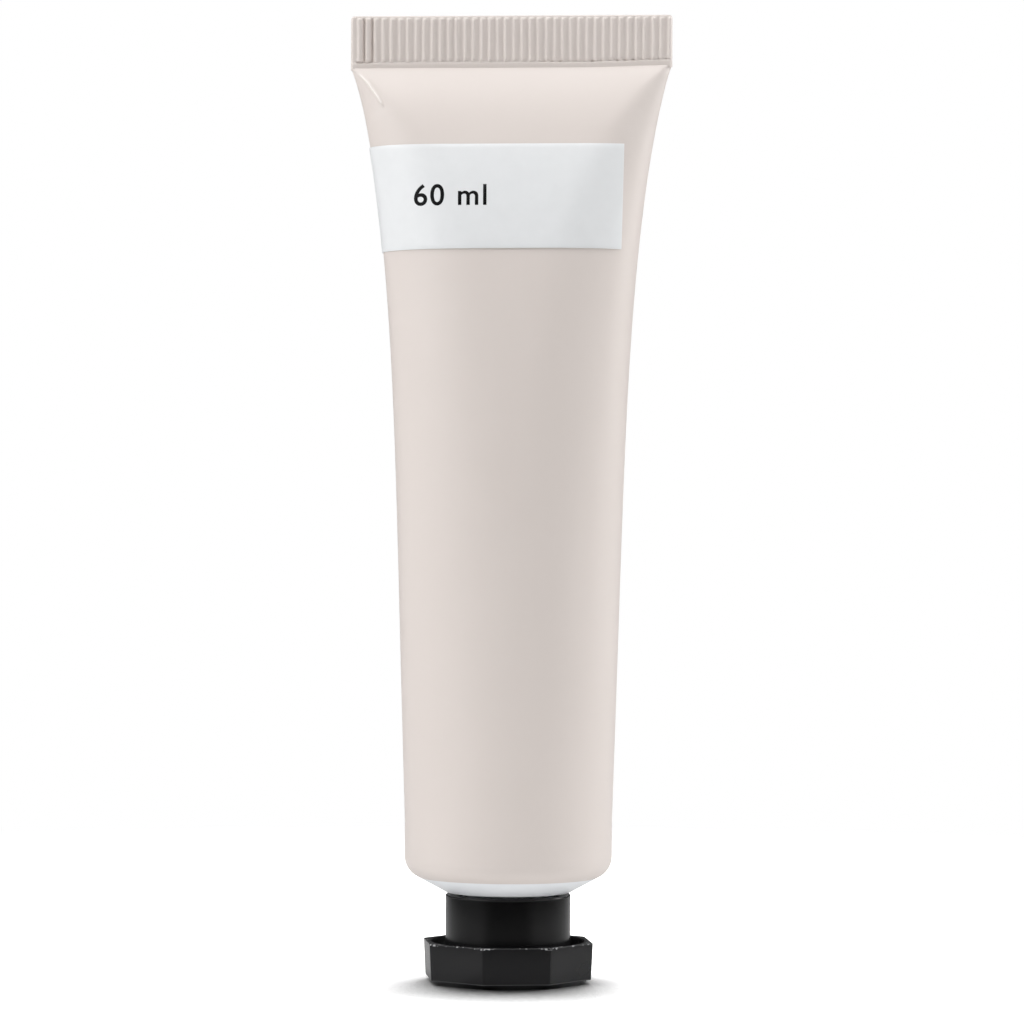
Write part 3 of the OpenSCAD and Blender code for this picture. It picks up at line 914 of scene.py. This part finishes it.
fine = add(wear_and_highlight_band, "ShaderNodeTexNoise", [("Vector", place.outputs["Object"]),
                                             ("Scale", given.outputs["Scale"]), ("Detail", 2.0)])
low = maths(wear_and_highlight_band, "SUBTRACT", given.outputs["Cut"], given.outputs["Blur"])
high = maths(wear_and_highlight_band, "ADD", given.outputs["Cut"], given.outputs["Blur"])
specks = add(wear_and_highlight_band, "ShaderNodeMapRange", [("Value", fine.outputs["Fac"]), ("From Min", low),
                                               ("From Max", high)])
worn_or_lit = maths(wear_and_highlight_band, "MULTIPLY", band.outputs[0], specks.outputs[0])
wear_and_highlight_band.links.new(maths(wear_and_highlight_band, "MULTIPLY", worn_or_lit, outside), result.inputs["Mask"])
print("groups:", [g.name for g in bpy.data.node_groups])


# %% Helpers for materials
def new_material(name):
    material = bpy.data.materials.new(name)
    material.use_nodes = True
    return material, material.node_tree, material.node_tree.nodes["Principled BSDF"]


def place_group(tree, group, values):
    node = add(tree, "ShaderNodeGroup", node_tree=group)
    for key, value in values.items():
        node.inputs[key].default_value = value
    return node


def over_colour(tree, shader, share, colour):
    """Mixes another colour over what feeds a shader's Base Color."""
    under = shader.inputs["Base Color"].links[0].from_socket
    tree.links.new(mix_colours(tree, share, under, (*colour, 1)), shader.inputs["Base Color"])


def plain_finish(name, light, dark, mottle_scale, grain_scale, roughness, spread, bump_mm, stretch=1.0):
    """A material of mottled colour with grain in its roughness and bump, its nodes and its shader."""
    material, tree, shader = new_material(name)
    colour = place_group(tree, mottle, {"Light": (*light, 1), "Dark": (*dark, 1), "Scale": mottle_scale,
                                        "Stretch": stretch})
    tree.links.new(colour.outputs["Color"], shader.inputs["Base Color"])
    texture = place_group(tree, grain, {"Scale": grain_scale, "Stretch": stretch, "Roughness": roughness,
                                        "Roughness Spread": spread})
    tree.links.new(texture.outputs["Roughness"], shader.inputs["Roughness"])
    bump = add(tree, "ShaderNodeBump", [("Strength", 1.0), ("Distance", bump_mm * MM),
                                        ("Height", texture.outputs["Height"])])
    tree.links.new(bump.outputs[0], shader.inputs["Normal"])
    return material, tree, shader


def dress(piece, material, body, slot, *nodes):
    """Gives a piece its material and body, and hides the solids that it stands for. The slot is not used."""
    piece.data.materials.clear()
    piece.data.materials.append(material)
    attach(piece, body)
    if nodes:
        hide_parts(*nodes)


# %% [markdown]
# ## The finishes
#
# The sleeve is a dyed film with a soft sheen. It was drawn through a die along its length, so its grain is
# stretched that way. Along the sharp crease a paler colour is painted in, a painted highlight for the light
# that the fold catches. How near each point lies to that crease was kept in an attribute of the mesh, and
# here it mixes in that paler colour.

# %% Sleeve finish
sleeve_finish, tree, shader = plain_finish(
    "beige_film", light=(0.735, 0.670, 0.633), dark=(0.715, 0.650, 0.613), mottle_scale=55.0,
    grain_scale=1400.0, roughness=0.42, spread=0.12, bump_mm=0.004, stretch=0.35)
# A paler colour is painted along the sharp crease: a painted highlight.
fold_highlight_node = add(tree, "ShaderNodeAttribute", attribute_name="fold_highlight_paint")
over_colour(tree, shader, fold_highlight_node.outputs["Fac"], (0.90, 0.85, 0.81))
dress(sleeve_skin, sleeve_finish, "tube", "sleeve_beige", "sleeve")

# %% [markdown]
# The label is coated paper: cooler and lighter than the film, with the faint cloudiness of paper fibres under
# a thin varnish. The ink soaks in and dries dull.

# %% Label finish
label_finish, _, _ = plain_finish(
    "coated_paper", light=(0.815, 0.828, 0.838), dark=(0.795, 0.808, 0.818), mottle_scale=420.0,
    grain_scale=2600.0, roughness=0.36, spread=0.1, bump_mm=0.003)
dress(label, label_finish, "tube", "label_paper", "label")

ink_finish, _, shader = plain_finish(
    "black_ink", light=(0.004, 0.004, 0.0045), dark=(0.002, 0.002, 0.0022), mottle_scale=900.0,
    grain_scale=3000.0, roughness=0.5, spread=0.1, bump_mm=0.002)
shader.inputs["Specular IOR Level"].default_value = 0.15
dress(ink, ink_finish, "tube", "label_paper")

# %% [markdown]
# The cap is black plastic. Its grip ring is painted a little paler than the skirt and foot, a painted sheen
# for the light that its facets catch. The ring's upper rim has been knocked about, most at its corners, so
# pale specks show where the skin is bruised, and faint pale lines along the rims are painted highlights of
# their rounded edges. Each band of wear or highlight is kept to its rim by height and radius and broken up
# by noise.

# %% Wear and painted rim highlights on a finish
def wear_and_highlights(tree, shader, colour, bands):
    """Mixes a pale colour into a finish wherever a band shows: wear specks, or a painted highlight along a
    rim.
    """
    mask = 0.0
    for height, reach, inside, scale, cut, blur, strength in bands:
        band = place_group(tree, wear_and_highlight_band, {"Height": height * MM, "Reach": reach * MM,
                                             "Inside": inside * MM, "Scale": scale, "Cut": cut, "Blur": blur})
        mask = maths(tree, "MAXIMUM", mask, maths(tree, "MULTIPLY", band.outputs["Mask"], strength))
    over_colour(tree, shader, mask, colour)


# %% Cap finish
cap_finish, tree, shader = plain_finish(
    "black_plastic", light=(0.0040, 0.0040, 0.0044), dark=(0.0024, 0.0024, 0.0026), mottle_scale=240.0,
    grain_scale=1800.0, roughness=0.25, spread=0.12, bump_mm=0.0008)
shader.inputs["Specular IOR Level"].default_value = 0.32
place = add(tree, "ShaderNodeTexCoord")
parts = add(tree, "ShaderNodeSeparateXYZ", [(0, place.outputs["Object"])])
under_rim = add(tree, "ShaderNodeMapRange",
                [("Value", parts.outputs["Z"]), ("From Min", (RING_TOP + 0.3) * MM),
                 ("From Max", (RING_TOP - 0.1) * MM)])
above_foot = add(tree, "ShaderNodeMapRange",
                 [("Value", parts.outputs["Z"]), ("From Min", (FOOT_H - 0.1) * MM), ("From Max", FOOT_H * MM)])
# The grip ring between its foot and its upper rim gets a paler colour: a painted sheen for the light its
# facets catch.
ring_sheen_paint = maths(tree, "MULTIPLY", under_rim.outputs[0], above_foot.outputs[0])
over_colour(tree, shader, ring_sheen_paint, (0.0120, 0.0120, 0.0128))
# Each row is a band's height, reach, inner radius, noise scale, cut, blur and strength.
wear_and_highlights(tree, shader, (0.55, 0.55, 0.56), [
    (RING_TOP - 0.04, 0.15, 11.5, 2300.0, 0.65, 0.04, 1.0),
    (RING_TOP - 0.08, 0.24, 12.3, 2600.0, 0.56, 0.04, 0.9),
    # The last three rows are painted highlights: faint pale lines along the ring's upper rim, its lower rim
    # and the skirt's rim.
    (RING_TOP - 0.03, 0.10, 11.5, 300.0, 0.20, 0.15, 0.09),
    (FOOT_H + 0.08, 0.12, 10.0, 300.0, 0.20, 0.15, 0.08),
    (CAP_HEIGHT - 0.32, 0.09, 8.9, 400.0, 0.15, 0.15, 0.07),
])
dress(cap_moulding, cap_finish, "cap", "cap_black", "cap")

# %% [markdown]
# The shoulder is undyed white plastic, waxy and faintly blue. The liner is foam with fine pores. The cream is
# a glossy off-white.

# %% White finishes
head_finish, _, _ = plain_finish(
    "white_plastic", light=(0.90, 0.92, 0.94), dark=(0.87, 0.89, 0.915), mottle_scale=150.0,
    grain_scale=1500.0, roughness=0.34, spread=0.1, bump_mm=0.002)
dress(head, head_finish, "tube", "head_white", "tube_head")

liner_finish, _, _ = plain_finish(
    "white_foam", light=(0.72, 0.72, 0.70), dark=(0.62, 0.62, 0.60), mottle_scale=1800.0, grain_scale=3200.0,
    roughness=0.75, spread=0.1, bump_mm=0.03)
dress(liner, liner_finish, "liner", "liner_foam", "cap_liner")

cream_finish, _, _ = plain_finish(
    "cream", light=(0.93, 0.90, 0.82), dark=(0.90, 0.87, 0.79), mottle_scale=200.0, grain_scale=500.0,
    roughness=0.22, spread=0.08, bump_mm=0.02)
dress(cream, cream_finish, "tube", "cream", "cream")

# %% [markdown]
# ## Floor and light
#
# The background is white in the camera's eyes alone: there the world has strength 1, and the floor's colour
# is raised so that lit floor comes out white while the object's shadow stays. Since that also washes out the
# soft end of the shadow, the floor is darkened again where the tube takes light from behind away from it. All
# other rays see a softer room that is darkest towards the camera, because that is where the glossy cap shows
# black, and gloss sees a floor to match. Far from the tube the floor is plain white.

# %% Floor
start_clean()
bpy.ops.mesh.primitive_plane_add(size=60.0, location=(0, 0, 0))
floor = bpy.context.object
floor.name = "floor"
floor_finish, tree, shader = new_material("white_floor")
tree.nodes.remove(shader)
CAMERA_SIDE = (-0.87, -0.64)
FLOOR_COLOUR = 0.95
FLOOR_MIRRORED = (0.24, 0.6)
FLOOR_SEEN = 2.0
LIT_NEAR = 0.10
WHITE_BEYOND = 0.30
SHADOW_REACH = 27.0
SHADOW_DEPTH = 1.7
light_path = add(tree, "ShaderNodeLightPath")
place = add(tree, "ShaderNodeTexCoord")
backwards = add(tree, "ShaderNodeCombineXYZ", [("Y", 1.0)])
open_behind = add(tree, "ShaderNodeAmbientOcclusion", [("Distance", SHADOW_REACH * MM),
                                                       ("Normal", backwards.outputs[0])], samples=16)
above_floor = add(tree, "ShaderNodeMapRange", [("Value", open_behind.outputs["AO"]), ("From Min", 0.5)])
contact = maths(tree, "POWER", above_floor.outputs[0], SHADOW_DEPTH)
seen = maths(tree, "MULTIPLY", contact, FLOOR_SEEN)
bearing = add(tree, "ShaderNodeVectorMath", [(0, place.outputs["Object"])], operation="NORMALIZE")
parts = add(tree, "ShaderNodeSeparateXYZ", [(0, bearing.outputs["Vector"])])
mirrored = add(tree, "ShaderNodeMapRange",
               [("Value", parts.outputs["Y"]), ("From Min", CAMERA_SIDE[0]), ("From Max", CAMERA_SIDE[1]),
                ("To Min", FLOOR_MIRRORED[0]), ("To Max", FLOOR_MIRRORED[1])],
               interpolation_type="SMOOTHSTEP")
unseen = add(tree, "ShaderNodeMix", [(0, light_path.outputs["Is Glossy Ray"]), (2, FLOOR_COLOUR),
                                     (3, mirrored.outputs[0])])
floor_level = add(tree, "ShaderNodeMix", [(0, light_path.outputs["Is Camera Ray"]), (2, unseen.outputs[0]),
                                          (3, seen)])
lit_floor = add(tree, "ShaderNodeBsdfDiffuse", [("Color", floor_level.outputs[0])])
white_floor = add(tree, "ShaderNodeEmission", [("Strength", 1.0)])
away = add(tree, "ShaderNodeVectorMath", [(0, place.outputs["Object"])], operation="LENGTH")
far = add(tree, "ShaderNodeMapRange", [("Value", away.outputs["Value"]), ("From Min", LIT_NEAR),
                                       ("From Max", WHITE_BEYOND)], interpolation_type="SMOOTHSTEP")
seen_far = maths(tree, "MULTIPLY", far.outputs[0], light_path.outputs["Is Camera Ray"])
floor_shader = add(tree, "ShaderNodeMixShader", [(0, seen_far), (1, lit_floor.outputs[0]),
                                                 (2, white_floor.outputs[0])])
tree.links.new(floor_shader.outputs[0], tree.nodes["Material Output"].inputs["Surface"])
floor.data.materials.append(floor_finish)

# %% Room light
ROOM_LEVEL = 0.10
ROOM_DARK = 0.0
world = bpy.data.worlds.new("room")
bpy.context.scene.world = world
world.use_nodes = True
tree = world.node_tree
direction = add(tree, "ShaderNodeTexCoord")
parts = add(tree, "ShaderNodeSeparateXYZ", [(0, direction.outputs["Generated"])])
room = add(tree, "ShaderNodeMapRange",
           [("Value", parts.outputs["Y"]), ("From Min", CAMERA_SIDE[0]), ("From Max", CAMERA_SIDE[1]),
            ("To Min", ROOM_DARK), ("To Max", ROOM_LEVEL)], interpolation_type="SMOOTHSTEP")
light_path = add(tree, "ShaderNodeLightPath")
level = add(tree, "ShaderNodeMix", [(0, light_path.outputs["Is Camera Ray"]), (2, room.outputs[0]), (3, 1.0)])
background = tree.nodes["Background"]
background.inputs["Color"].default_value = (1, 1, 1, 1)
tree.links.new(level.outputs[0], background.inputs["Strength"])


# %% Lamps
def softbox(name, at, width, height, watts, towards=(0.0, 0.0, 0.07)):
    data = bpy.data.lights.new(name, "AREA")
    data.shape = "RECTANGLE"
    data.size, data.size_y, data.energy = width, height, watts
    lamp = bpy.data.objects.new(name, data)
    lamp.location = at
    lamp.rotation_euler = (Vector(towards) - Vector(at)).to_track_quat("-Z", "Y").to_euler()
    bpy.context.scene.collection.objects.link(lamp)
    return lamp


softbox("left_high", (-0.62, -0.12, 0.52), 0.7, 0.4, 1.83)
softbox("left_front", (-0.58, -0.32, 0.48), 0.6, 0.5, 2.25)
softbox("right_high", (0.62, -0.10, 0.52), 0.7, 0.4, 2.4)
softbox("right_back", (0.80, 0.30, 0.40), 0.3, 0.5, 2.5)
softbox("top", (0.0, -0.10, 0.95), 0.8, 0.6, 5.4)
